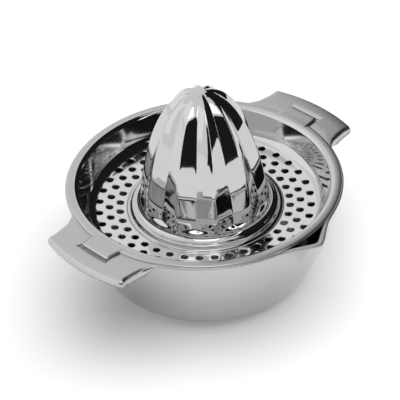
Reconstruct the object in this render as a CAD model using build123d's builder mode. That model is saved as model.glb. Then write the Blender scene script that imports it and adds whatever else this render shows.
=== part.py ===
from build123d import *
import math
import os

os.makedirs("parts", exist_ok=True)

# A hand juicer in two pressings of stainless sheet, in millimetres.
# The origin is the centre of the bowl's flat base, +Z is up, the two handles lie
# along X and the pouring spout points along -Y.

# ---------------------------------------------------------------- driving sizes
# bowl
bowl_sheet = 0.8          # sheet thickness of the bowl
bowl_height = 51.0        # base to the top face of rim and handles
bowl_radius = 64.0        # outer radius of the wall just under the lip
foot_radius = 47.2        # radius where the swept wall would meet the base plane
wall_sweep = 117.0        # radius of the barrelled side wall, seen in section
corner_radius = 16.0      # round between side wall and flat base
lip_width = 1.8           # how far the turned lip stands out from the wall
lip_drop = 2.2            # height over which the wall turns out into the lip
lip_land = 1.3            # flat width on top of the lip

# handles, two ears of the same sheet
handle_reach = 82.4       # centre line to the outer edge
handle_end_width = 47.4   # across the outer corners
handle_root_width = 55.2  # across the root, on the lip
handle_hollow = 0.6       # how far each side is drawn in from straight
handle_corner = 5.0       # plan radius of the outer corners
handle_drop = 3.3         # depth of the edge that is turned down
handle_roll = 1.6         # radius of the turned-down edge

# pouring spout
spout_reach = 72.6        # centre line to the tip of the lip
spout_width = 27.0        # across the spout where it leaves the rim
spout_depth = 19.0        # how far down the wall the spout runs out
spout_tip_radius = 4.0    # plan radius of the tip
spout_point = 1.4         # how far the unrounded point would stand beyond the tip
spout_lip = 1.4           # width of the turned lip on the spout
spout_root = 4.5          # inside the wall's radius: the corners at the rim
spout_back = 25.6         # inside it: the corner hidden in the bowl
spout_end_width = 13.5    # across the keel where it runs out into the wall
spout_end_tip = 4.5       # inside the wall's radius: the point of that end
spout_end_root = 10.2     # inside it: the corners of that end
spout_end_radius = 2.0    # plan radius of that point

# strainer
strainer_sheet = 0.8      # sheet thickness of the strainer
seat_gap = 0.1            # clearance under the strainer's rim
rim_radius = 65.2         # outer radius of the rim
rim_width = 5.2           # rim, from the wall to the outer edge
rim_round = 2.5           # round from wall to rim
floor_radius = 55.3       # where wall and floor would meet
floor_round = 6.0         # round between floor and wall
dish_depth = 15.4         # top of rim down to the floor beside the foot ring
floor_rise = 0.9          # how far the floor climbs out to the wall
step_radius = 38.0        # outer radius of the raised foot ring
step_height = 2.6         # height of the foot ring over the floor
step_round = 1.2          # round at the foot and at the shoulder of the ring
foot_round = 6.0          # hollow round between the ring and the cone

# reamer cone
cone_height = 65.0        # floor to apex
cone_radius = 31.4        # ridge radius at the foot of the cone
cone_start = 3.3          # height over the floor at which the cone begins
cone_belly = 1.40         # powers of the ogive that the ridges follow
cone_bluntness = 0.41
cone_tip_radius = 2.0     # flat left at the very tip
cone_steps = 14           # sections that the cone is skinned over
cone_crowding = 1.7       # above 1 they crowd together towards the tip
collar_lap = 0.2          # how far the collar stands inside the cone's valleys
collar_rise = 0.4         # and how far it goes on above the hollow round
flute_count = 10
valley_at_foot = 0.935    # valley radius over ridge radius, at the foot
valley_at_tip = 0.80      # and at the tip

# drain holes
hole_radius = 1.75
holes_per_ring = 36
ring_radius = 45.6        # middle ring
ring_pitch = 5.0          # from ring to ring
seam_share = 0.26         # seam of the turned sheet, in hole pitches, clear of the holes

# tabs that lock the strainer to the handles
tab_root_width = 18.8     # across the tab at the rim
tab_end_width = 16.2      # across the bent end
tab_reach = 71.9          # centre line to the outer face of the bent end
tab_bend = 1.3            # outer radius of the bend
tab_leaf = 4.2            # depth of the bent end below the rim's top
tab_clearance = 0.35      # all round the bent end in its slot
slot_extra = 0.6          # extra length of the slot at each end of the leaf

# ------------------------------------------------------------- worked-out sizes
lip_radius = bowl_radius + lip_width
rim_top = bowl_height + seat_gap + strainer_sheet
floor_height = rim_top - dish_depth
wall_top_radius = rim_radius - rim_width
ring_radii = [ring_radius + ring_pitch * step for step in (-1, 0, 1)]
lip_inside = lip_radius - lip_land
foot_inside = foot_radius - bowl_sheet
hole_pitch = 360 / holes_per_ring


def corner(sketch, across, up):
    """The vertex of a sketch that lies nearest to a point of its plane."""
    return sketch.vertices().sort_by_distance((across, up))[0]


def barrel(start, end):
    """The swept side wall of the bowl, bulging outwards between two points."""
    return RadiusArc(start, end, -wall_sweep)


# ------------------------------------------------------------------------- bowl
with BuildPart() as bowl:
    # the two handles: flat ears with their edges turned down, open underneath
    root_x = math.sqrt(lip_radius**2 - (handle_root_width / 2) ** 2)
    end_x = math.sqrt(handle_reach**2 - (handle_end_width / 2) ** 2)
    root_left = (root_x, handle_root_width / 2)
    root_right = (root_x, -handle_root_width / 2)
    end_left = (end_x, handle_end_width / 2)
    end_right = (end_x, -handle_end_width / 2)
    inner_x = root_x - lip_width
    with BuildSketch(Plane.XY.offset(bowl_height - handle_drop)) as handle_plan:
        with BuildLine():
            Line((inner_x, root_right[1]), root_right)
            SagittaArc(root_right, end_right, handle_hollow)
            ThreePointArc(end_right, (handle_reach, 0), end_left)
            SagittaArc(end_left, root_left, handle_hollow)
            Line(root_left, (inner_x, root_left[1]))
            Line((inner_x, root_left[1]), (inner_x, root_right[1]))
        make_face()
        fillet(handle_plan.vertices().sort_by(Axis.X)[-2:], radius=handle_corner)
        mirror(about=Plane.YZ)
    extrude(amount=handle_drop)
    top_edges = bowl.edges().group_by(Axis.Z)[-1]
    rolled = [e for e in top_edges if abs(e.center().X) > (inner_x + root_x) / 2]
    fillet(rolled, radius=handle_roll)
    with BuildSketch(Plane.XY.offset(bowl_height - handle_drop)):
        offset(handle_plan.sketch_local, amount=-bowl_sheet)
    extrude(amount=handle_drop - bowl_sheet, mode=Mode.SUBTRACT)

    # the outside of the bowl, as a solid of revolution
    wall_top = bowl_height - lip_drop
    with BuildSketch(Plane.XZ) as outside:
        with BuildLine():
            Line((0, 0), (foot_radius, 0))
            barrel((foot_radius, 0), (bowl_radius, wall_top))
            Line((bowl_radius, wall_top), (lip_radius, bowl_height - bowl_sheet))
            Line((lip_radius, bowl_height - bowl_sheet), (lip_radius, bowl_height))
            Line((lip_radius, bowl_height), (0, bowl_height))
            Line((0, bowl_height), (0, 0))
        make_face()
        fillet(corner(outside, foot_radius, 0), radius=corner_radius)
    revolve(axis=Axis.Z)

    # the outside of the spout: a rounded V that runs out down the wall
    spout_bottom = bowl_height - spout_depth
    with BuildSketch(Plane.XY.offset(bowl_height)) as spout_mouth:
        with BuildLine():
            Polyline(
                (-spout_width / 2, spout_root - bowl_radius),
                (0, -spout_reach - spout_point),
                (spout_width / 2, spout_root - bowl_radius),
                (0, spout_back - bowl_radius),
                close=True,
            )
        make_face()
        fillet(corner(spout_mouth, 0, -spout_reach), radius=spout_tip_radius)
    with BuildSketch(Plane.XY.offset(spout_bottom)) as spout_end:
        with BuildLine():
            Polyline(
                (-spout_end_width / 2, spout_end_root - bowl_radius),
                (0, spout_end_tip - bowl_radius),
                (spout_end_width / 2, spout_end_root - bowl_radius),
                (0, spout_back - bowl_radius),
                close=True,
            )
        make_face()
        fillet(corner(spout_end, 0, -bowl_radius), radius=spout_end_radius)
    loft()

    # the lip carried round the spout
    with BuildSketch(Plane.XY.offset(bowl_height - bowl_sheet)):
        offset(spout_mouth.sketch_local, amount=spout_lip)
    extrude(amount=bowl_sheet)

    # the inside of the bowl and of the spout
    with BuildSketch(Plane.XZ) as inside:
        with BuildLine():
            Line((0, bowl_sheet), (foot_inside, bowl_sheet))
            barrel((foot_inside, bowl_sheet), (bowl_radius - bowl_sheet, wall_top))
            Line((bowl_radius - bowl_sheet, wall_top), (lip_inside, bowl_height))
            Line((lip_inside, bowl_height), (0, bowl_height))
            Line((0, bowl_height), (0, bowl_sheet))
        make_face()
        fillet(corner(inside, foot_inside, bowl_sheet), radius=corner_radius - bowl_sheet)
    revolve(axis=Axis.Z, mode=Mode.SUBTRACT)
    with BuildSketch(Plane.XY.offset(bowl_height)):
        offset(spout_mouth.sketch_local, amount=-bowl_sheet)
    with BuildSketch(Plane.XY.offset(spout_bottom + bowl_sheet)):
        offset(spout_end.sketch_local, amount=-bowl_sheet)
    loft(mode=Mode.SUBTRACT)

    # the slots that take the strainer's bent tab ends
    slot_width = strainer_sheet + 2 * tab_clearance
    slot_x = tab_reach - strainer_sheet / 2
    slot_length = tab_end_width + 2 * (tab_clearance + slot_extra)
    with BuildSketch(Plane.XY.offset(bowl_height - handle_drop)):
        with Locations((slot_x, 0), (-slot_x, 0)):
            Rectangle(slot_width, slot_length)
    extrude(amount=2 * handle_drop, mode=Mode.SUBTRACT)

bowl.part.label = "bowl"
export_step(bowl.part, "parts/bowl.step")


# --------------------------------------------------------------------- strainer
def ridge_radius(climb):
    """Ridge radius at a share of the way from the cone's foot to its apex."""
    return cone_radius * max(1 - climb**cone_belly, 0) ** cone_bluntness


def fluted_section(radius, climb):
    """Corners of the cone's section, ridge and valley in turn."""
    valley = valley_at_foot + (valley_at_tip - valley_at_foot) * climb
    points = []
    for step in range(2 * flute_count):
        angle = math.pi * step / flute_count
        reach = radius if step % 2 else radius * valley
        points.append((reach * math.cos(angle), reach * math.sin(angle)))
    return points


def cone_sections(inset):
    """Heights and ridge radii of the cone's sections, drawn in by the inset."""
    sections = []
    for step in range(cone_steps):
        climb = 1 - (1 - step / cone_steps) ** cone_crowding
        height = cone_start + (cone_height - cone_start) * climb
        sections.append((height, ridge_radius(climb) - inset, climb))
    sections.append((cone_height, cone_tip_radius - inset, 1.0))
    return sections


# section of the dish, right half: everything under its top surface ...
step_top = floor_height + step_height
foot_climb = (step_height + foot_round - cone_start) / (cone_height - cone_start)
foot_valley = valley_at_foot + (valley_at_tip - valley_at_foot) * foot_climb
collar_radius = ridge_radius(foot_climb) * foot_valley - collar_lap
collar_top = step_top + foot_round + collar_rise
below = floor_height - 5 * strainer_sheet
with BuildSketch() as dish_top:
    with BuildLine():
        Line((0, below), (rim_radius, below))
        Line((rim_radius, below), (rim_radius, rim_top))
        Line((rim_radius, rim_top), (wall_top_radius, rim_top))
        Line((wall_top_radius, rim_top), (floor_radius, floor_height + floor_rise))
        Line((floor_radius, floor_height + floor_rise), (step_radius, floor_height))
        Line((step_radius, floor_height), (step_radius, step_top))
        Line((step_radius, step_top), (collar_radius, step_top))
        Line((collar_radius, step_top), (collar_radius, collar_top))
        Line((collar_radius, collar_top), (0, collar_top))
        Line((0, collar_top), (0, below))
    make_face()
    fillet(corner(dish_top, wall_top_radius, rim_top), radius=rim_round)
    fillet(corner(dish_top, floor_radius, floor_height + floor_rise), radius=floor_round)
    fillet(corner(dish_top, step_radius, step_top), radius=step_round)
    fillet(corner(dish_top, collar_radius, step_top), radius=foot_round)

# ... less everything under its lower surface, one sheet thickness down
rim_under = rim_top - strainer_sheet
with BuildSketch() as dish_sheet:
    add(dish_top.sketch)
    offset(dish_top.sketch, amount=-strainer_sheet, mode=Mode.SUBTRACT)
    with Locations((0, below)):
        Rectangle(2 * rim_radius, 4 * strainer_sheet, mode=Mode.SUBTRACT)
    with Locations((rim_radius, below)):
        Rectangle(rim_width, 2 * (rim_under - below), mode=Mode.SUBTRACT)
    Rectangle(2 * (collar_radius - strainer_sheet), 4 * rim_top, mode=Mode.SUBTRACT)

with BuildPart() as strainer:
    # the pressed dish; the plane keeps the seam of the turned faces off the holes
    with BuildSketch(Plane.XZ.rotated((0, 0, seam_share * hole_pitch))):
        add(dish_sheet.sketch)
    revolve(axis=Axis.Z)

    # drain holes in three staggered rings
    with BuildSketch(Plane.XY.offset(below)):
        for ring, radius in enumerate(ring_radii):
            stagger = hole_pitch / 2 * (ring % 2)
            with PolarLocations(radius, holes_per_ring, start_angle=stagger):
                Circle(hole_radius)
    extrude(amount=rim_top - below, mode=Mode.SUBTRACT)

    # the fluted cone, and the hollow inside it one sheet thickness further in
    for inset, mode in ((0, Mode.ADD), (strainer_sheet, Mode.SUBTRACT)):
        for height, radius, climb in cone_sections(inset):
            with BuildSketch(Plane.XY.offset(floor_height + height - inset)):
                with BuildLine():
                    Polyline(*fluted_section(radius, climb), close=True)
                make_face()
        loft(mode=mode)

    # the two tabs: flat with the rim, with their ends bent down
    leaf_inside = tab_reach - strainer_sheet
    tab_start = rim_radius - strainer_sheet
    with BuildSketch(Plane.XZ) as tab:
        with BuildLine():
            Polyline(
                (tab_start, rim_top),
                (tab_reach, rim_top),
                (tab_reach, rim_top - tab_leaf),
                (leaf_inside, rim_top - tab_leaf),
                (leaf_inside, rim_under),
                (tab_start, rim_under),
                close=True,
            )
        make_face()
        fillet(corner(tab, tab_reach, rim_top), radius=tab_bend)
        fillet(corner(tab, leaf_inside, rim_under), radius=tab_bend - strainer_sheet)
        mirror(about=Plane.YZ)
    extrude(amount=tab_root_width / 2, both=True)

    # the tabs' sides taper towards their ends
    with BuildSketch(Plane.XY.offset(rim_top)):
        for x_side in (-1, 1):
            for y_side in (-1, 1):
                with BuildLine():
                    Polyline(
                        (x_side * rim_radius, y_side * tab_root_width / 2),
                        (x_side * tab_reach, y_side * tab_end_width / 2),
                        (x_side * handle_reach, y_side * tab_end_width / 2),
                        (x_side * handle_reach, y_side * tab_root_width),
                        (x_side * rim_radius, y_side * tab_root_width),
                        close=True,
                    )
                make_face()
    extrude(amount=-2 * tab_leaf, mode=Mode.SUBTRACT)

strainer.part.label = "strainer"
export_step(strainer.part, "parts/strainer.step")
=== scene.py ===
# %% [markdown]
# A two-part hand juicer in stainless steel: a pouring bowl with two flat handles, and a
# perforated strainer with a fluted cone that lifts off it. Both are single pressings, so
# each becomes one mesh. The design comes in as a fixed frame, and this file only gives
# the two pressings their finished surfaces, their steel and a small studio to shine in.

# %% Load the frame
import math
import bmesh
import bpy
import numpy as np
from mathutils import Matrix, Vector


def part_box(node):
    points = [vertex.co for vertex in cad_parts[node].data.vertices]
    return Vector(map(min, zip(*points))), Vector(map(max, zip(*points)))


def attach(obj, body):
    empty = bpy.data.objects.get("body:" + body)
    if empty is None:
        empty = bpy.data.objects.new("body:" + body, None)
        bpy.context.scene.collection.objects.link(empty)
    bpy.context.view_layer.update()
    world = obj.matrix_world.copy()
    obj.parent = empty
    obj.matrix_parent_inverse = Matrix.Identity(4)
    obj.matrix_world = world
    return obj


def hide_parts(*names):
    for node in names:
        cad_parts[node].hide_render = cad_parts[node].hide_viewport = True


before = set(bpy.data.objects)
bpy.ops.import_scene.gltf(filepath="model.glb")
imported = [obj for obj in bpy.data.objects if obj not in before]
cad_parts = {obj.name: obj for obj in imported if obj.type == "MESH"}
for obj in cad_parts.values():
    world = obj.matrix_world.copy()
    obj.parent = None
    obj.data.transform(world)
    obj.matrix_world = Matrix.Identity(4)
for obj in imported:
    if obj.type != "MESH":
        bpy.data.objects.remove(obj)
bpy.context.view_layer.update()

# %% [markdown]
# The driving sizes are read from the frame, so the finished meshes land exactly where the
# design has them. What the boxes can't tell, such as radii of bends and the sheet
# thickness, is named here in millimetres turned into metres.

# %% Sizes of the two pressings
mm = 0.001
bowl_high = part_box("bowl")[1]
strainer_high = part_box("strainer")[1]
handle_reach = bowl_high.x
lip_radius = bowl_high.y
bowl_top = bowl_high.z
rim_radius = strainer_high.y
tab_reach = strainer_high.x
apex = strainer_high.z
sheet = 0.8 * mm
resting_gap = 0.1 * mm
dish_depth = 15.4 * mm
rim_top = bowl_top + sheet + resting_gap
floor_height = rim_top - dish_depth
print("rim", round(rim_radius / mm, 1), "handles", round(handle_reach / mm, 1))


# %% [markdown]
# Both pressings are round, with details that break the roundness. A Screw modifier would
# only turn a plain section, so most of both pieces is woven from rows of points: each row
# runs round the piece and neighbouring rows are joined by quads. A rounded section line
# is needed again and again, so one helper puts an arc at each corner of a line.

# %% Helpers for rows, rounded lines and meshes
def rounded_line(corners, steps=6):
    """Points along a line whose corners (across, up, radius) are rounded by arcs."""
    points = []
    for i, (x, z, radius) in enumerate(corners):
        here = np.array((x, z))
        if radius == 0:
            points.append(here)
            continue
        before = np.array(corners[i - 1][:2]) - here
        after = np.array(corners[i + 1][:2]) - here
        before /= np.linalg.norm(before)
        after /= np.linalg.norm(after)
        half = math.acos(np.clip(before @ after, -1, 1)) / 2
        middle = (before + after) / np.linalg.norm(before + after)
        centre = here + middle * radius / math.sin(half)
        start = here + before * radius / math.tan(half) - centre
        end = here + after * radius / math.tan(half) - centre
        turn = math.atan2(start[0] * end[1] - start[1] * end[0], start @ end)
        for step in range(steps + 1):
            a = turn * step / steps
            points.append(centre + (start[0] * math.cos(a) - start[1] * math.sin(a),
                                    start[0] * math.sin(a) + start[1] * math.cos(a)))
    return np.array(points)


def smooth_max(a, b, softness):
    """The larger of two values, with the corner between them rounded off."""
    return (a + b + np.sqrt((a - b) ** 2 + softness ** 2)) / 2


def ring_of(radius, height, angles):
    """A row of points round the axis."""
    radius = np.broadcast_to(radius, angles.shape)
    height = np.broadcast_to(height, angles.shape)
    return np.stack([radius * np.cos(angles), radius * np.sin(angles), height], axis=1)


def weave(mesh, rows, material, closed=True):
    """Joins neighbouring rows of points by quads and adds them to a bmesh."""
    woven = [[mesh.verts.new(point) for point in row] for row in rows]
    for low, high in zip(woven, woven[1:]):
        count = len(low)
        for i in range(count if closed else count - 1):
            j = (i + 1) % count
            face = mesh.faces.new((low[i], low[j], high[j], high[i]))
            face.material_index = material
            face.smooth = True
    return woven


def plain_mesh(obj, name):
    """The object with its modifiers applied, as a new object with a plain mesh."""
    evaluated = obj.evaluated_get(bpy.context.evaluated_depsgraph_get())
    data = bpy.data.meshes.new_from_object(evaluated)
    data.name = name
    done = bpy.data.objects.new(name, data)
    bpy.context.scene.collection.objects.link(done)
    bpy.data.objects.remove(obj)
    return done


# %% [markdown]
# Node trees read best as sums. This class wraps one socket, so an expression such as
# 1 - mask adds its Math nodes by itself, and `node` makes every other kind of node.

# %% Node maths as plain expressions
class Wire:
    """One output socket of a node tree, usable in plain arithmetic."""

    def __init__(self, tree, socket):
        self.tree = tree
        self.socket = socket

    def node(self, kind, settings, values, output=0):
        """Adds a node: its type, its settings, then the values or links of its sockets."""
        made = self.tree.nodes.new(kind)
        for name, value in settings.items():
            setattr(made, name, value)
        for key, value in values.items():
            if isinstance(value, Wire):
                self.tree.links.new(value.socket, made.inputs[key])
            else:
                made.inputs[key].default_value = value
        return Wire(self.tree, made.outputs[output]) if len(made.outputs) else made

    def math(self, operation, *others):
        values = {i: other for i, other in enumerate((self, *others))}
        return self.node("ShaderNodeMath", {"operation": operation}, values)

    def __add__(self, other):
        return self.math("ADD", other)

    def __mul__(self, other):
        return self.math("MULTIPLY", other)

    def __sub__(self, other):
        return self.math("SUBTRACT", other)

    def __rsub__(self, other):
        return self * -1 + other

    def __truediv__(self, other):
        return self.math("DIVIDE", other)

    def __pow__(self, other):
        return self.math("POWER", other)

    __radd__ = __add__
    __rmul__ = __mul__


# %% [markdown]
# The steel. One pressing shows several finishes: the cone and the dish wall come off the
# buffing wheel almost as mirrors, the perforated floor is a little softer, the rim and the
# handles are satin, and the bowl's inside is a little rougher than its outside. The bowl's
# inside also gets a much darker tone, which is painted shade: it darkens the inside where it
# lies in the shade of the strainer. All are the same metal with another tone and roughness,
# so one function makes them. Image textures could show real wear, but noise has no seams on
# a round piece and follows it at any size. Very fine lines round the axis, faint smears and
# a slight waviness of the sheet keep the reflections from looking computed. The numbers of a
# finish are its tone, its roughness, and how strong the smears, the lines, the waves and the
# grain are.

# %% Steel finishes
smoothest = 0.02
smudge_tone = 0.06
warmth = 0.995
line_height = 0.01
grain_height = 0.012


def steel(name, tone, rough, smear, lines, waves, grain):
    """Stainless steel: tone of the metal, roughness and how uneven the surface is."""
    material = bpy.data.materials.new(name)
    material.use_nodes = True
    tree = material.node_tree
    shader = tree.nodes["Principled BSDF"]
    shader.inputs["Metallic"].default_value = 1.0
    start = tree.nodes.new("ShaderNodeTexCoord")
    place = Wire(tree, start.outputs["Object"])
    split = place.node("ShaderNodeSeparateXYZ", {}, {0: place})
    axes = [Wire(tree, split.socket.node.outputs[i]) for i in range(3)]
    radius = (axes[0] ** 2 + axes[1] ** 2) ** 0.5
    section = place.node("ShaderNodeCombineXYZ", {}, {0: radius, 1: axes[2]})

    def noise(where, scale, detail):
        return place.node("ShaderNodeTexNoise", {}, {"Vector": where, "Scale": scale, "Detail": detail})

    turned = noise(section, 2600.0, 3.0)
    smudge = noise(place, 38.0, 4.0)
    speckle = noise(place, 2400.0, 2.0)
    wave = noise(place, 45.0, 1.0)
    roughness = (smudge - 0.5) * smear + (turned - 0.5) * lines + rough
    roughness = roughness.math("MAXIMUM", smoothest)
    tree.links.new(roughness.socket, shader.inputs["Roughness"])
    shade = (smudge - 0.5) * smudge_tone + (speckle - 0.5) * grain + tone
    colour = place.node("ShaderNodeCombineColor", {}, {0: shade, 1: shade, 2: shade * warmth})
    tree.links.new(colour.socket, shader.inputs["Base Color"])
    height = wave * waves + turned * (lines * line_height) + speckle * (grain * grain_height)
    bump = place.node("ShaderNodeBump", {}, {"Strength": 1.0, "Distance": 1.0 * mm, "Height": height})
    tree.links.new(bump.socket, shader.inputs["Normal"])
    return material


mirror = steel("mirror_steel", 0.58, 0.04, 0.03, 0.02, 0.03, 0.0)
wall_polish = steel("wall_steel", 0.58, 0.06, 0.04, 0.03, 0.06, 0.0)
# The bowl's inside has a tone of 0.30, far below the outside's 0.50. That darker tone is painted shade
# for the inside under the strainer. Its roughness is the real finish.
inside_polish_and_painted_shade = steel("inside_steel_painted_shade", 0.30, 0.16, 0.05, 0.03, 0.03, 0.0)
floor_satin = steel("floor_steel", 0.68, 0.12, 0.04, 0.05, 0.015, 0.12)
handle_satin = steel("handle_steel", 0.52, 0.28, 0.05, 0.0, 0.0, 0.02)
outside_polish = steel("outside_steel", 0.50, 0.14, 0.03, 0.02, 0.012, 0.0)
print("finishes:", ", ".join(material.name for material in bpy.data.materials))

# %% [markdown]
# The fluted cone follows a rule: an ogive whose ridges bend over to a blunt tip, with
# ten flutes that grow deeper on the way up. Each flute is two facets that meet in a
# crease and swell a little, and ridges and creases are rounded as in pressed sheet.
# It could be carved with booleans, but a rule gives clean rows of faces. The rule is
# plain Python that also runs on sockets, because the foot needs it in numbers later.

# %% The cone's rule
cone_foot = 31.0 * mm
base_rise = 3.3 * mm
cone_base = floor_height + base_rise
cone_rise = apex - cone_base
belly = 1.40
bluntness = 0.41
flutes = 10
depth_at_foot = 0.052
depth_at_tip = 0.165
tip_fade = 0.25
tip_fade_power = 24
facet_crown = 0.013
ridge_round = math.radians(1.3)
valley_round = math.radians(1.3)
ring_rise = 2.6 * mm
ring_top = floor_height + ring_rise
foot_round = 2.6 * mm
foot_band = 2.6 * mm
foot_climb = (ring_top + foot_round + foot_band - cone_base) / cone_rise
half_flute = math.pi / flutes


def ease(angle, softness, power, root):
    """Rounds off the corner that a distance to a line has at zero."""
    full = math.sqrt(half_flute ** 2 + softness ** 2) - softness
    return (root(power(angle) + softness ** 2) - softness) * (half_flute / full)


def flute_share(turns, climb, tools):
    """Radius over ridge radius, from the turn round the axis and the climb."""
    fold = tools["abs"](tools["fract"](turns * flutes) - 0.5) * (2 * half_flute)
    from_valley = ease(half_flute - fold, valley_round, tools["square"], tools["root"])
    from_ridge = ease(half_flute - from_valley, ridge_round, tools["square"], tools["root"])
    depth = depth_at_foot + climb * (depth_at_tip - depth_at_foot)
    valley = 1 - depth * (1 - tip_fade * climb ** tip_fade_power)
    chord = tools["sin"](from_ridge) + valley * tools["sin"](half_flute - from_ridge)
    crown = tools["sin"](fold * (math.pi / half_flute)) * facet_crown
    return valley * math.sin(half_flute) / chord + crown


array_tools = {"abs": np.abs, "fract": lambda a: a - np.floor(a), "square": np.square,
               "root": np.sqrt, "sin": np.sin}
wire_tools = {"abs": lambda a: a.math("ABSOLUTE"), "fract": lambda a: a.math("FRACT"),
              "square": lambda a: a ** 2, "root": lambda a: a ** 0.5,
              "sin": lambda a: a.math("SINE")}
print("flutes", flutes, "from", round((ring_top + foot_round + foot_band) / mm, 1), "to",
      round(apex / mm, 1))

# %% [markdown]
# Geometry Nodes turn a flat grid into the cone. One side of the grid becomes the way
# round and the other the climb, and the sizes are named inputs of the tree. Rows lie
# closer together towards the tip, where the outline bends most. The merge closes the
# seam and the tip.

# %% Geometry Nodes: inputs and the cone's tree
def tree_with_inputs(name, inputs):
    """An empty Geometry Nodes tree with named inputs, and its two end nodes."""
    tree = bpy.data.node_groups.new(name, "GeometryNodeTree")
    tree.interface.new_socket("Geometry", in_out="INPUT", socket_type="NodeSocketGeometry")
    for label, kind in inputs.items():
        tree.interface.new_socket(label, in_out="INPUT", socket_type=kind)
    tree.interface.new_socket("Geometry", in_out="OUTPUT", socket_type="NodeSocketGeometry")
    return tree, tree.nodes.new("NodeGroupInput"), tree.nodes.new("NodeGroupOutput")


def grown(name, tree, settings):
    """Runs a tree on an empty mesh, with its inputs set by identifier, and keeps the result."""
    obj = bpy.data.objects.new(name + "_source", bpy.data.meshes.new(name + "_source"))
    bpy.context.scene.collection.objects.link(obj)
    modifier = obj.modifiers.new(name, "NODES")
    modifier.node_group = tree
    for item in tree.interface.items_tree:
        if item.item_type == "SOCKET" and item.in_out == "INPUT" and item.name in settings:
            modifier[item.identifier] = settings[item.name]
    return plain_mesh(obj, name)


tip_crowding = 1.9
tip_weld = 0.004 * mm
FLOAT, INT = "NodeSocketFloat", "NodeSocketInt"
MATERIAL, OBJECT = "NodeSocketMaterial", "NodeSocketObject"
cone_tree, inputs, outputs = tree_with_inputs(
    "fluted_cone", {"Columns": INT, "Rows": INT, "Foot radius": FLOAT, "Base": FLOAT,
                    "Rise": FLOAT, "Material": MATERIAL})
given = {socket.name: Wire(cone_tree, socket) for socket in inputs.outputs}
begin = given["Rise"]
grid = begin.node("GeometryNodeMeshGrid", {},
                  {"Size X": 1.0, "Size Y": 1.0,
                   "Vertices X": given["Columns"], "Vertices Y": given["Rows"]})
position = begin.node("GeometryNodeInputPosition", {}, {})
split = position.node("ShaderNodeSeparateXYZ", {}, {0: position})
turns = split + 0.5
up = Wire(cone_tree, split.socket.node.outputs[1]) + 0.5
climb = (1 - (1 - up) ** tip_crowding) * (1 - foot_climb) + foot_climb
ridge = ((1 - climb ** belly).math("MAXIMUM", 0.0)) ** bluntness * given["Foot radius"]
reach = ridge * flute_share(turns, climb, wire_tools)
angle = turns * (2 * math.pi)
height = climb * given["Rise"] + given["Base"]
point = position.node("ShaderNodeCombineXYZ", {}, {0: reach * angle.math("COSINE"),
                                                    1: reach * angle.math("SINE"), 2: height})
moved = begin.node("GeometryNodeSetPosition", {}, {"Geometry": grid, "Position": point})
welded = begin.node("GeometryNodeMergeByDistance", {}, {"Geometry": moved, "Distance": tip_weld})
real = begin.node("GeometryNodeRealizeInstances", {}, {"Geometry": welded})
painted = begin.node("GeometryNodeSetMaterial", {}, {"Geometry": real, "Material": given["Material"]})
cone_tree.links.new(painted.socket, outputs.inputs[0])

columns = 360
cone_rows = 38
cone = grown("cone_part", cone_tree, {"Columns": columns + 1, "Rows": cone_rows, "Foot radius": cone_foot,
                                      "Base": cone_base, "Rise": cone_rise, "Material": mirror})
cone_top = max(vertex.co.z for vertex in cone.data.vertices)
print("cone", len(cone.data.vertices), "points, top at", round(cone_top / mm, 1))

# %% [markdown]
# The strainer's floor is punched with three staggered rings of round holes. A hole with
# the piece of sheet round it is one cell, and the same cell repeats 36 times in each of
# three rings. The cell is drawn once in plain numbers from -0.5 to 0.5, with a direction
# and a weight stored on its points, and the tree then bends every copy round the axis
# while keeping the holes truly round. Cells share their border points, so the merge
# welds them into one sheet.

# %% The punched cell
holes_per_ring = 36
hole_radius = 1.75 * mm
ring_pitch = 5.0 * mm
floor_inside = 38.1 * mm
rings = 3
border_steps = 10
side_steps = 8


def punched_cell():
    """A unit square of sheet round a hole, with the hole's direction and weight stored."""
    bottom = [(-0.5 + i / border_steps, -0.5) for i in range(border_steps)]
    right = [(0.5, -0.5 + i / side_steps) for i in range(side_steps)]
    border = bottom + right + [(-x, -y) for x, y in bottom + right]
    count = len(border)
    quarter = [-0.75 + 0.5 * i / border_steps for i in range(border_steps)]
    quarter += [-0.25 + 0.5 * i / side_steps for i in range(side_steps)]
    spokes = [share * math.pi for share in quarter + [share + 1 for share in quarter]]
    weights = (0.0, 0.70, 0.88, 0.96, 1.0)  # how far each loop is from the border to the hole
    sinks = (0.0, 0.0, 0.01, 0.06, 0.20)  # how far the edge is drawn down, in millimetres
    cell = bpy.data.meshes.new("punched_cell")
    points = [(x, y, 0) for _ in weights for x, y in border]
    faces = []
    for ring in range(len(weights) - 1):
        for i in range(count):
            j = (i + 1) % count
            low, high = ring * count, (ring + 1) * count
            faces.append((low + j, low + i, high + i, high + j))
    cell.from_pydata(points, [], faces)
    stored = {"spoke": np.tile(spokes, len(weights)), "inward": np.repeat(weights, count),
              "sink": np.repeat(sinks, count) * mm}
    for label, values in stored.items():
        cell.attributes.new(label, "FLOAT", "POINT").data.foreach_set("value", np.float32(values))
    obj = bpy.data.objects.new("punched_cell", cell)
    bpy.context.scene.collection.objects.link(obj)
    return obj


# %% [markdown]
# The tree lays one point per hole, stores its column and row on it and puts the cell
# there. Every second row starts half a column further, which staggers the rings. Made
# real, the copies keep those stored numbers, so the bending below knows the centre of
# the hole that each point belongs to.

# %% Geometry Nodes: the punched floor
floor_tree, inputs, outputs = tree_with_inputs(
    "punched_floor", {"Cell": OBJECT, "Holes per ring": INT, "Rings": INT, "Inner radius": FLOAT,
                      "Pitch": FLOAT, "Hole radius": FLOAT, "Height": FLOAT, "Material": MATERIAL})
given = {socket.name: Wire(floor_tree, socket) for socket in inputs.outputs}
begin = given["Pitch"]


def stored_number(label):
    """A number stored on the cell's points or on its copies."""
    return begin.node("GeometryNodeInputNamedAttribute", {"data_type": "FLOAT"}, {"Name": label})


def store(geometry, label, value):
    return begin.node("GeometryNodeStoreNamedAttribute", {"data_type": "FLOAT", "domain": "POINT"},
                      {"Geometry": geometry, "Name": label, "Value": value})


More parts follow.
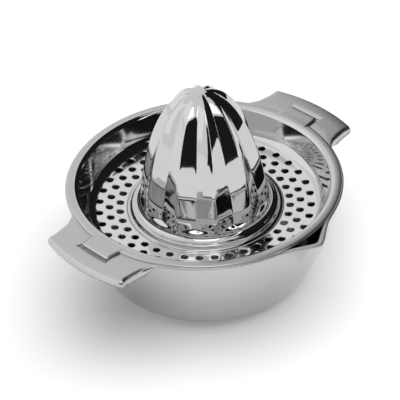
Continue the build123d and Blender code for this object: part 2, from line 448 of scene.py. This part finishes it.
grid = begin.node("GeometryNodeMeshGrid", {},
                  {"Size X": given["Holes per ring"] - 1, "Size Y": given["Rings"] - 1,
                   "Vertices X": given["Holes per ring"], "Vertices Y": given["Rings"]})
position = begin.node("GeometryNodeInputPosition", {}, {})
across = position.node("ShaderNodeSeparateXYZ", {}, {0: position}, 0)
outward = position.node("ShaderNodeSeparateXYZ", {}, {0: position}, 1)
row = (outward + (given["Rings"] - 1) / 2 + 0.5).math("FLOOR")
column = across + 0.5 + row.math("MODULO", 2.0) * 0.5
counted = store(store(grid, "cell_column", column), "cell_row", row)
column, row = stored_number("cell_column"), stored_number("cell_row")
shifted = begin.node("ShaderNodeCombineXYZ", {}, {0: column, 1: row})
centres = begin.node("GeometryNodeSetPosition", {}, {"Geometry": counted, "Position": shifted})
cell_geometry = begin.node("GeometryNodeObjectInfo", {}, {"Object": given["Cell"]}, "Geometry")
copies = begin.node("GeometryNodeInstanceOnPoints", {}, {"Points": centres, "Instance": cell_geometry})
real = begin.node("GeometryNodeRealizeInstances", {}, {"Geometry": copies})

# %% [markdown]
# A point on the cell's border follows the bent grid and a point on the hole's edge keeps
# its distance from the hole's centre. The stored weight mixes the two, so the holes stay
# round wherever they are. The height comes from the dish: a shallow cone that bends up
# into the wall.

# %% Geometry Nodes: bending the cells round the axis
turn = 2 * math.pi / holes_per_ring
border_radius = (outward + 0.5) * given["Pitch"] + given["Inner radius"]
border_angle = across * turn
centre_radius = (row + 0.5) * given["Pitch"] + given["Inner radius"]
centre_angle = column * turn
spoke = stored_number("spoke")
inward = stored_number("inward")
hole_angle = centre_angle + (math.pi / 2 - spoke)
hole_x = centre_radius * centre_angle.math("COSINE") + given["Hole radius"] * hole_angle.math("COSINE")
hole_y = centre_radius * centre_angle.math("SINE") + given["Hole radius"] * hole_angle.math("SINE")
x = border_radius * border_angle.math("COSINE") * (1 - inward) + hole_x * inward
y = border_radius * border_angle.math("SINE") * (1 - inward) + hole_y * inward
radius = (x * x + y * y) ** 0.5
slope_rise, slope_run = 0.9 * mm, 17.3 * mm
floor_slope = slope_rise / slope_run
wall_start = 51.2 * mm
wall_bend = 6.0 * mm
step_radius = 38.0 * mm
cell_weld = 0.02 * mm


def floor_profile(radius, most):
    """Height of the floor over its lowest circle: a shallow cone that bends up into the wall."""
    over = most(radius - wall_start, 0.0)
    return (radius - step_radius) * floor_slope + over * over / (2 * wall_bend)


z = floor_profile(radius, lambda a, b: a.math("MAXIMUM", b)) + given["Height"] - stored_number("sink")
point = begin.node("ShaderNodeCombineXYZ", {}, {0: x, 1: y, 2: z})
bent = begin.node("GeometryNodeSetPosition", {}, {"Geometry": real, "Position": point})
welded = begin.node("GeometryNodeMergeByDistance", {}, {"Geometry": bent, "Distance": cell_weld})
painted = begin.node("GeometryNodeSetMaterial", {}, {"Geometry": welded, "Material": given["Material"]})
floor_tree.links.new(painted.socket, outputs.inputs[0])

cell = punched_cell()
floor = grown("floor_part", floor_tree, {
    "Cell": cell, "Holes per ring": holes_per_ring, "Rings": rings, "Inner radius": floor_inside,
    "Pitch": ring_pitch, "Hole radius": hole_radius, "Height": floor_height, "Material": floor_satin})
bpy.data.objects.remove(cell)
floor_outside = floor_inside + rings * ring_pitch
print("floor", len(floor.data.vertices), "points,", holes_per_ring * rings, "holes")

# %% [markdown]
# The rest of the strainer is turned work: the flat rim with its edge folded down, the
# wall of the dish and the raised ring at the cone's foot, with a fine groove outside it.
# Between ring and cone the outline changes from a circle to the fluted one. A boolean
# would leave a hard line there, so a hollow round rises from the ring and a short band
# above it fades the flutes in.

# %% The strainer's turned rows
rim_fold = 0.9 * mm
rim_bend = 0.85 * mm
dish_mouth, mouth_bend = 60.0 * mm, 2.5 * mm
dish_foot, foot_bend = 55.3 * mm, 6.0 * mm
dish_foot_rise = 0.9 * mm
floor_joint = 0.4 * mm
strainer_mesh = bmesh.new()
angles = np.radians(np.arange(columns))
rim_line = rounded_line([(rim_radius, rim_top - rim_fold, 0), (rim_radius, rim_top, rim_bend),
                         (dish_mouth, rim_top, mouth_bend),
                         (dish_foot, floor_height + dish_foot_rise, foot_bend),
                         (step_radius, floor_height, 0)])
rim_line = rim_line[rim_line[:, 0] > floor_outside + floor_joint]
floor_edge = floor_height + floor_profile(floor_outside, max)
rim_line = np.vstack([rim_line, (floor_outside, floor_edge)])
rim_rows = [ring_of(r, z, angles) for r, z in rim_line]
flat_row = 7
CONE, WALL, FLOOR, RIM = range(4)
weave(strainer_mesh, rim_rows[:flat_row + 2], RIM)
weave(strainer_mesh, rim_rows[flat_row + 1:], WALL)

# %% The ring at the cone's foot
step_foot = floor_height + floor_profile(floor_inside, max)
groove_outside, groove_inside = 37.3 * mm, 37.1 * mm
groove_rise = 0.45 * mm
groove_top = step_foot + groove_rise
groove_bend = 0.2 * mm
ring_foot, ring_foot_bend = 35.6 * mm, 0.6 * mm
ring_outside, ring_bend = 34.9 * mm, 0.7 * mm
ring_inside = 33.6 * mm
ring_line = rounded_line([(floor_inside, step_foot, 0), (groove_outside, step_foot, groove_bend),
                          (groove_inside, groove_top, groove_bend),
                          (ring_foot, groove_top, ring_foot_bend),
                          (ring_outside, ring_top, ring_bend), (ring_inside, ring_top, 0)], steps=3)
weave(strainer_mesh, [ring_of(r, z, angles) for r, z in ring_line[:-1]], CONE)

foot_reach = cone_foot * max(1 - foot_climb ** belly, 0) ** bluntness
foot_reach = foot_reach * flute_share(angles / (2 * math.pi), foot_climb, array_tools)
foot_play = 0.25 * mm
foot_circle = foot_reach.max() + foot_play
round_steps, band_steps = 8, 7
foot_rows = [ring_of(ring_line[-2][0], ring_top, angles)]
for a in np.linspace(math.pi / 2, 0, round_steps):
    foot_rows.append(ring_of(foot_circle + (ring_inside - foot_circle) * (1 - math.cos(a)),
                             ring_top + foot_round * (1 - math.sin(a)), angles))
for part in np.linspace(0, 1, band_steps)[1:]:
    fluted = foot_circle + (foot_reach - foot_circle) * part * part * (3 - 2 * part)
    foot_rows.append(ring_of(fluted, ring_top + foot_round + foot_band * part, angles))
weave(strainer_mesh, foot_rows, CONE)
print("foot ring", round(2 * groove_outside / mm, 1), "across, cone", round(2 * foot_circle / mm, 1))

# %% [markdown]
# The two tabs hold the strainer still on the bowl. Each grows out of the flat rim over
# eight degrees to both sides of the handles' line, gets straight, and bends down into its
# slot. The first row is a piece of the rim's own row, so the weld joins it without a gap,
# and the rim's folded edge runs on beneath it.

# %% The two tabs
tab_half = 8
tab_end = 8.1 * mm
tab_bend = 1.3 * mm
tab_leaf = 4.2 * mm
flat_steps = 4
bend_steps = 6
tab_root = rim_line[flat_row]
share = np.linspace(-1, 1, 2 * tab_half + 1)
bend_start = tab_reach - tab_bend


def tab_row(x, z):
    """A straight row across the tab."""
    return np.stack([np.full(share.shape, x), share * tab_end, np.full(share.shape, z)], axis=1)


for side in (1, -1):
    spread = np.radians(np.arange(-tab_half, tab_half + 1))
    root = ring_of(tab_root[0], rim_top, spread)
    rows = []
    for step in range(flat_steps + 1):
        part = step / flat_steps
        rows.append(root * (1 - part) + tab_row(bend_start, rim_top) * part)
    for step in range(1, bend_steps + 1):
        a = math.pi / 2 * step / bend_steps
        rows.append(tab_row(bend_start + tab_bend * math.sin(a), rim_top - tab_bend * (1 - math.cos(a))))
    rows.append(rows[-1] - np.array((0, 0, tab_leaf - tab_bend)))
    weave(strainer_mesh, [row[::-1] * (side, side, 1) for row in rows], RIM, closed=False)
print("tabs", round(2 * tab_end / mm, 1), "wide, down to", round((rim_top - tab_leaf) / mm, 1))

# %% [markdown]
# A pressing is one sheet of even thickness. Drawing both of its faces would double the
# work, so only the upper one is drawn, welded and turned the right way out, and Solidify
# adds the lower one. Even offset keeps the wall as thick in the bends as on the flats.

# %% Join and weld the strainer, then give it its thickness
weld_distance = 0.03 * mm


def add_object(mesh, obj, material):
    """Adds an object's mesh to a bmesh and takes the object away."""
    first = len(mesh.faces)
    mesh.from_mesh(obj.data)
    mesh.faces.ensure_lookup_table()
    for face in mesh.faces[first:]:
        face.material_index = material
        face.smooth = True
    bpy.data.objects.remove(obj)


def sheet_metal(mesh, name, materials):
    """Welds a surface, turns it the right way out and makes it a sheet."""
    bmesh.ops.remove_doubles(mesh, verts=mesh.verts, dist=weld_distance)
    bmesh.ops.recalc_face_normals(mesh, faces=mesh.faces)
    if sum(face.normal.z * face.calc_area() for face in mesh.faces) < 0:
        bmesh.ops.reverse_faces(mesh, faces=mesh.faces)
    data = bpy.data.meshes.new(name)
    mesh.to_mesh(data)
    mesh.free()
    for material in materials:
        data.materials.append(material)
    obj = bpy.data.objects.new(name + "_skin", data)
    bpy.context.scene.collection.objects.link(obj)
    solid = obj.modifiers.new("sheet", "SOLIDIFY")
    solid.thickness = sheet
    solid.offset = -1
    solid.use_even_offset = True
    return obj


add_object(strainer_mesh, cone, CONE)
add_object(strainer_mesh, floor, FLOOR)
finishes = [mirror, wall_polish, floor_satin, handle_satin]
skin = sheet_metal(strainer_mesh, "strainer_pressing", finishes)
strainer = plain_mesh(skin, "strainer_pressing")
print("strainer", len(strainer.data.polygons), "faces")

# %% [markdown]
# The bowl is one pressing too, with its handles and its spout. It is drawn by its inner
# surface and thickened outwards. Joining a separate bowl, handles and spout by booleans
# would leave seams, so every column of points runs from the middle of the base up the
# wall, over the lip and out to the edge of the sheet. The edge is one closed outline: a
# circle, the two handles and the V of the spout. First comes the outline of a handle.

# %% The outline of a handle
handle_turn = 25
handle_columns = 84
side_width = 25.0 * mm
side_flare = 2.6 * mm
flare_power = 1.7
corner = 1.8 * mm
side_steps, corner_steps, end_steps = 60, 30, 40


def handle_outline(count):
    """Points of one handle's edge in equal steps, from its -Y root to its +Y root."""
    centre_x = math.sqrt((handle_reach - corner) ** 2 - (side_width - corner) ** 2)
    centre_y = side_width - corner
    root_x = lip_radius * math.cos(math.radians(handle_turn))
    turn_end = math.atan2(centre_y, centre_x)
    along = np.linspace(root_x, centre_x, side_steps)
    from_end = (centre_x - along) / (centre_x - root_x)
    side = np.stack([along, side_width + side_flare * from_end ** flare_power], 1)
    bend = np.linspace(math.pi / 2, turn_end, corner_steps)[1:]
    round_part = np.stack([centre_x + corner * np.cos(bend), centre_y + corner * np.sin(bend)], 1)
    end = np.linspace(turn_end, 0, end_steps)[1:]
    end_part = np.stack([handle_reach * np.cos(end), handle_reach * np.sin(end)], 1)
    half = np.vstack([side, round_part, end_part])
    whole = np.vstack([half * (1, -1), half[-2::-1]])
    length = np.concatenate([[0], np.cumsum(np.linalg.norm(np.diff(whole, axis=0), axis=1))])
    steps = np.linspace(0, length[-1], count + 1)
    return np.stack([np.interp(steps, length, whole[:, k]) for k in (0, 1)], axis=1)[:-1]


outline = handle_outline(handle_columns)
print("handle", round(2 * side_width / mm, 1), "wide,", len(outline), "points along its edge")

# %% [markdown]
# The columns of points aren't spread evenly round the bowl. They stand close together on
# the handles and closest at the spout, where the outline turns in a small angle. The
# spout is a V with a rounded point: its distance from the axis is that of two straight
# lines, and the wall below it swells out less the deeper it lies.

# %% The columns and the spout
inner_lip = 64.6 * mm
back_columns, side_columns, spout_columns = 88, 34, 64
spout_at, spout_turn = 270, 16
stretches = [(-handle_turn, handle_turn, handle_columns),
             (handle_turn, 180 - handle_turn, back_columns),
             (180 - handle_turn, 180 + handle_turn, handle_columns),
             (180 + handle_turn, spout_at - spout_turn, side_columns),
             (spout_at - spout_turn, spout_at + spout_turn, spout_columns),
             (spout_at + spout_turn, 360 - handle_turn, side_columns)]
lip_angles = np.concatenate([np.radians(np.linspace(a, b, n, endpoint=False)) for a, b, n in stretches])
from_spout = np.abs((lip_angles + math.pi / 2 + math.pi) % (2 * math.pi) - math.pi)
point_softness = 0.018
point_turn = np.sqrt(from_spout ** 2 + point_softness ** 2)
spout_length = 72.0 * mm
spout_slant = 0.62
slant_end = 1.2
spout_v = spout_length / (np.cos(from_spout) + spout_slant * np.sin(np.minimum(point_turn, slant_end)))
spout_half = 0.26
extra_lip, extra_until = 1.1 * mm, 1.15
lip_width = lip_radius - inner_lip + extra_lip * np.clip(extra_until - from_spout / spout_half, 0, 1)
spout_lean = 0.52
spout_span = 0.6
no_spout = -9 * mm
spout_softness = 0.9 * mm


def spout_bulge(below_top):
    """How far the spout stands out of the round wall, at a depth below the top."""
    runs_out = spout_v - inner_lip - spout_lean * below_top
    return smooth_max(np.where(from_spout < spout_span, runs_out, no_spout), 0, spout_softness)


print("columns", len(lip_angles), "spout runs out", round(spout_bulge(0).max() / mm, 1))

# %% [markdown]
# The section of the wall is a flat base, a tight arc and a very large one that leans
# outwards to the lip. The large arc's centre follows from its two ends and its radius,
# and the tight one touches it, so the wall has no kink in its reflections.

# %% The bowl's rows, from the base to the edge
wall_sweep = 117.0 * mm
foot_inside = 46.4 * mm
wall_inside = 63.2 * mm
lip_bend = 2.2 * mm
wall_high = bowl_top - lip_bend
chord = np.array((wall_inside - foot_inside, wall_high - sheet))
middle = np.array((foot_inside, sheet)) + chord / 2
across = np.array((-chord[1], chord[0])) / np.linalg.norm(chord)
sweep_centre = middle + across * math.sqrt(wall_sweep ** 2 - (chord @ chord) / 4)
base_round = 15.2 * mm
round_z = sheet + base_round
round_x = sweep_centre[0] + math.sqrt((wall_sweep - base_round) ** 2 - (round_z - sweep_centre[1]) ** 2)
meet = math.atan2(round_z - sweep_centre[1], round_x - sweep_centre[0])
finish_angle = math.atan2(wall_high - sweep_centre[1], wall_inside - sweep_centre[0])

base_steps, wall_steps = 9, 15
base_middle, base_ring = 2 * mm, 20 * mm
profile = [(base_middle, sheet), (base_ring, sheet)]
for a in np.linspace(-math.pi / 2, meet, base_steps):
    profile.append((round_x + base_round * math.cos(a), round_z + base_round * math.sin(a)))
for a in np.linspace(meet, finish_angle, wall_steps)[1:]:
    profile.append(tuple(sweep_centre + wall_sweep * np.array((math.cos(a), math.sin(a)))))
lip_start, lip_end = np.array((wall_inside, wall_high)), np.array((inner_lip, bowl_top))
lip_swing, lip_steps = 0.25 * mm, 5
lip_knee = np.array((wall_inside + lip_swing, bowl_top))
for t in np.linspace(0, 1, lip_steps)[1:]:
    profile.append(tuple(lip_start * (1 - t) ** 2 + lip_knee * 2 * t * (1 - t) + lip_end * t * t))
inside_rows = [ring_of(r + spout_bulge(bowl_top - z), z, lip_angles) for r, z in profile]
print("wall", len(inside_rows), "rows")

# %% [markdown]
# All round, the edge of the sheet bends down a little. On the handles it bends down
# further, with a wider bend at the ends, and the sides lean outwards. Bend, drop and lean
# are numbers that change smoothly along the edge, so handles and lip need no joint.

# %% The edge of the sheet: lip, spout and handles
edge = ring_of(inner_lip + lip_width + spout_bulge(0), bowl_top, lip_angles)[:, :2]
edge[:handle_columns] = outline
second = handle_columns + back_columns
edge[second:second + handle_columns] = -outline
smoothings = 2
for _ in range(smoothings):
    edge = (np.roll(edge, 1, axis=0) + 2 * edge + np.roll(edge, -1, axis=0)) / 4
tangent = np.roll(edge, -1, axis=0) - np.roll(edge, 1, axis=0)
outwards = np.stack([tangent[:, 1], -tangent[:, 0]], axis=1)
outwards /= np.linalg.norm(outwards, axis=1)[:, None]
reach = np.linalg.norm(edge, axis=1)
handles_from, rise_start, rise_length = 50 * mm, 0.2 * mm, 5 * mm
on_handle = np.clip((reach - lip_radius + rise_start) / rise_length, 0, 1)
on_handle = on_handle * (np.abs(edge[:, 0]) > handles_from)
end_from, end_length = 79.5 * mm, 2.5 * mm
at_end = np.clip((reach - end_from) / end_length, 0, 1)
lip_roll, handle_roll, end_roll = 0.45, 0.45, 1.3  # in millimetres, as are the next two lines
lip_drop, handle_drop = 0.7, 2.6
side_lean = 1.7
roll = (lip_roll + handle_roll * on_handle + end_roll * at_end) * mm
drop = (lip_drop + handle_drop * on_handle) * mm
lean = side_lean * mm * on_handle * (1 - at_end)

edge_rows = []
start = inside_rows[-1]
inset = np.column_stack([edge - outwards * (roll + lean)[:, None], np.full(len(edge), bowl_top)])
flat_shares = (0.0, 0.35, 0.7, 1.0)
for part in flat_shares:
    edge_rows.append(start * (1 - part) + inset * part)
roll_steps = 7
for a in np.linspace(0, math.pi / 2, roll_steps)[1:]:
    fallen = roll * (1 - math.cos(a))
    place = edge - outwards * (roll * (1 - math.sin(a)) + lean * (1 - fallen / drop))[:, None]
    edge_rows.append(np.column_stack([place, bowl_top - fallen]))
edge_rows.append(np.column_stack([edge, bowl_top - drop]))
print("edge", len(edge_rows), "rows, turned down by", round(drop.max() / mm, 1), "on the handles")

# %% [markdown]
# Solidify gives the lower face the next material in the list, so one list holds inside
# and outside of the bowl, then top and underside of the handles.

# %% Weave the bowl
INSIDE, TOP = 0, 2
bowl_mesh = bmesh.new()
inside_woven = weave(bowl_mesh, inside_rows[::-1], INSIDE)
middle_face = bowl_mesh.faces.new(inside_woven[-1])
middle_face.smooth = True
weave(bowl_mesh, edge_rows[::-1], TOP)
finishes = [inside_polish_and_painted_shade, outside_polish, handle_satin, handle_satin]
skin = sheet_metal(bowl_mesh, "bowl_pressing", finishes)
skin.modifiers["sheet"].material_offset = 1

# %% [markdown]
# The tabs drop into one slot in each handle. A slot is a clean hole through the sheet,
# which is what a Boolean is good at, so one cutter with round-ended bars makes both.

# %% Cut the slots
slot_x = tab_reach - sheet / 2
slot_play, slot_end_play = 0.35 * mm, 0.95 * mm
slot_half_width = sheet / 2 + slot_play
slot_half_length = tab_end + slot_end_play
cut_below, cut_above = 4 * mm, 2 * mm
cap_steps = 7
cutter_mesh = bmesh.new()
for side in (1, -1):
    half_turn = np.linspace(-math.pi / 2, math.pi / 2, cap_steps)
    top = [(slot_half_width * math.sin(a), slot_half_length - slot_half_width * (1 - math.cos(a)))
           for a in half_turn]
    loop = [(-x, y) for x, y in top] + [(x, -y) for x, y in top]
    loop = [(side * slot_x + x, y) for x, y in loop]
    low = [cutter_mesh.verts.new((x, y, bowl_top - cut_below)) for x, y in loop]
    high = [cutter_mesh.verts.new((x, y, bowl_top + cut_above)) for x, y in loop]
    for i in range(len(loop)):
        j = (i + 1) % len(loop)
        cutter_mesh.faces.new((low[i], low[j], high[j], high[i]))
    cutter_mesh.faces.new(low)
    cutter_mesh.faces.new(high)
bmesh.ops.recalc_face_normals(cutter_mesh, faces=cutter_mesh.faces)
cutter_data = bpy.data.meshes.new("slot_cutter")
cutter_mesh.to_mesh(cutter_data)
cutter_mesh.free()
cutter = bpy.data.objects.new("slot_cutter", cutter_data)
bpy.context.scene.collection.objects.link(cutter)
cut = skin.modifiers.new("slots", "BOOLEAN")
cut.operation = "DIFFERENCE"
cut.solver = "EXACT"
cut.object = cutter
bowl = plain_mesh(skin, "bowl_pressing")
bpy.data.objects.remove(cutter)
print("bowl", len(bowl.data.polygons), "faces")

# %% [markdown]
# Each finished mesh takes the place of its pressing in the frame and moves with its body,
# so the strainer lifts off with everything that was drawn on it.

# %% Tie the finished pieces to the frame
for piece, node in ((bowl, "bowl"), (strainer, "strainer")):
    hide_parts(node)
    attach(piece, node)
print("pieces", bowl.name, strainer.name)

# %% [markdown]
# The camera looks down on the juicer over the left handle with a long lens from some way
# off, which keeps the rings of holes nearly free of perspective. The plain "Standard" view
# keeps the white of the table white.

# %% Camera
scene = bpy.context.scene
scene.view_settings.view_transform = "Standard"
camera_data = bpy.data.cameras.new("camera")
camera_data.lens = 168.3
camera_data.clip_start = 0.01
camera = bpy.data.objects.new("camera", camera_data)
scene.collection.objects.link(camera)
camera.location = (-0.4955, -0.4985, 0.5869)
target = Vector((0.0002, 0.0036, 0.0368))
look = (target - camera.location).to_track_quat("-Z", "Y").to_matrix().to_4x4()
tilt = Matrix.Rotation(math.radians(-2.563), 4, "Z")
camera.matrix_world = Matrix.Translation(camera.location) @ look @ tilt
scene.camera = camera
print("camera", round((camera.location - target).length, 2), "m away")

# %% [markdown]
# Polished steel shows what stands round it, so the studio is part of the look. A white
# table fills the reflections from below, a pale panel lights the left flutes, a white one
# high up lights the tip, and dark cards in front and to the right draw the black shapes
# on the cone. A painted pattern could imitate all this, but it would stay put when the
# view moves. The cards are seen in reflections only and cast no shadow.

# %% Materials and shapes of the studio
def glow(name, tone, strength):
    """A material that gives off even light."""
    material = bpy.data.materials.new(name)
    material.use_nodes = True
    shader = material.node_tree.nodes["Principled BSDF"]
    shader.inputs["Base Color"].default_value = (0, 0, 0, 1)
    shader.inputs["Emission Color"].default_value = (tone, tone, tone, 1)
    shader.inputs["Emission Strength"].default_value = strength
    shader.inputs["Specular IOR Level"].default_value = 0
    return material


def on_stage(name, mesh, material):
    """An object of the studio, made from a bmesh."""
    data = bpy.data.meshes.new(name)
    mesh.to_mesh(data)
    mesh.free()
    data.materials.append(material)
    obj = bpy.data.objects.new(name, data)
    scene.collection.objects.link(obj)
    return obj


def curved_card(name, centre_az, half_az, distance, low, high, material):
    """A card standing on the table, bent round the object."""
    mesh = bmesh.new()
    a = np.radians(np.linspace(centre_az - half_az, centre_az + half_az, 25))
    weave(mesh, [ring_of(distance, z, a) for z in (low, high)], 0, closed=False)
    card = on_stage(name, mesh, material)
    card.visible_camera = False
    card.visible_diffuse = False
    card.visible_shadow = False


# %% [markdown]
# The table is matt and gives off a little light of its own, which keeps the shadow under
# the bowl pale. The cards stand on arcs round the juicer: name, direction of the middle
# and half width in degrees, then distance, lower and upper edge in metres.

# %% Table and cards
white_table = bpy.data.materials.new("white_table")
white_table.use_nodes = True
shader = white_table.node_tree.nodes["Principled BSDF"]
shader.inputs["Base Color"].default_value = (0.72, 0.72, 0.72, 1)
shader.inputs["Emission Color"].default_value = (1, 1, 1, 1)
shader.inputs["Emission Strength"].default_value = 0.22
shader.inputs["Roughness"].default_value = 0.9
shader.inputs["Specular IOR Level"].default_value = 0.1
table_radius = 6.0
disc = bmesh.new()
table_edge = ring_of(table_radius, 0.0, np.radians(np.arange(0, 360, 5)))
disc.faces.new([disc.verts.new(point) for point in table_edge])
on_stage("table", disc, white_table)

dark_card = glow("dark_card", 0.015, 1.0)
white_card = glow("white_card", 1.0, 2.2)
pale_card = glow("pale_card", 1.0, 1.15)
cards = [("front_card", -131, 40, 1.0, 0.02, 0.75, dark_card),
         ("right_card", -28, 64, 1.05, 0.06, 2.6, dark_card),
         ("ridge_strip", -79, 3, 0.97, 0.02, 2.0, white_card),
         ("side_panel", 135, 40, 1.2, 0.20, 1.8, pale_card),
         ("high_panel", -135, 24, 0.9, 0.80, 2.6, white_card)]
for card in cards:
    curved_card(*card)
print(len(cards), "cards")

# %% [markdown]
# One very wide, soft sun from above lights the matt table, and an even pale world fills
# whatever the cards leave free in the reflections. Each is hidden from the other's job,
# so the shadow and the reflections can be set apart from each other.

# %% Light and world
sun_data = bpy.data.lights.new("soft_sky", "SUN")
sun_data.energy = 3.7
sun_data.angle = math.radians(75)
soft_sky = bpy.data.objects.new("soft_sky", sun_data)
scene.collection.objects.link(soft_sky)
soft_sky.rotation_euler = (math.radians(6), math.radians(6), 0)
soft_sky.visible_glossy = False

world = bpy.data.worlds.new("studio")
scene.world = world
world.use_nodes = True
world.node_tree.nodes["Background"].inputs[0].default_value = (0.93, 0.93, 0.93, 1)
world.node_tree.nodes["Background"].inputs[1].default_value = 1.0
world.cycles_visibility.diffuse = False
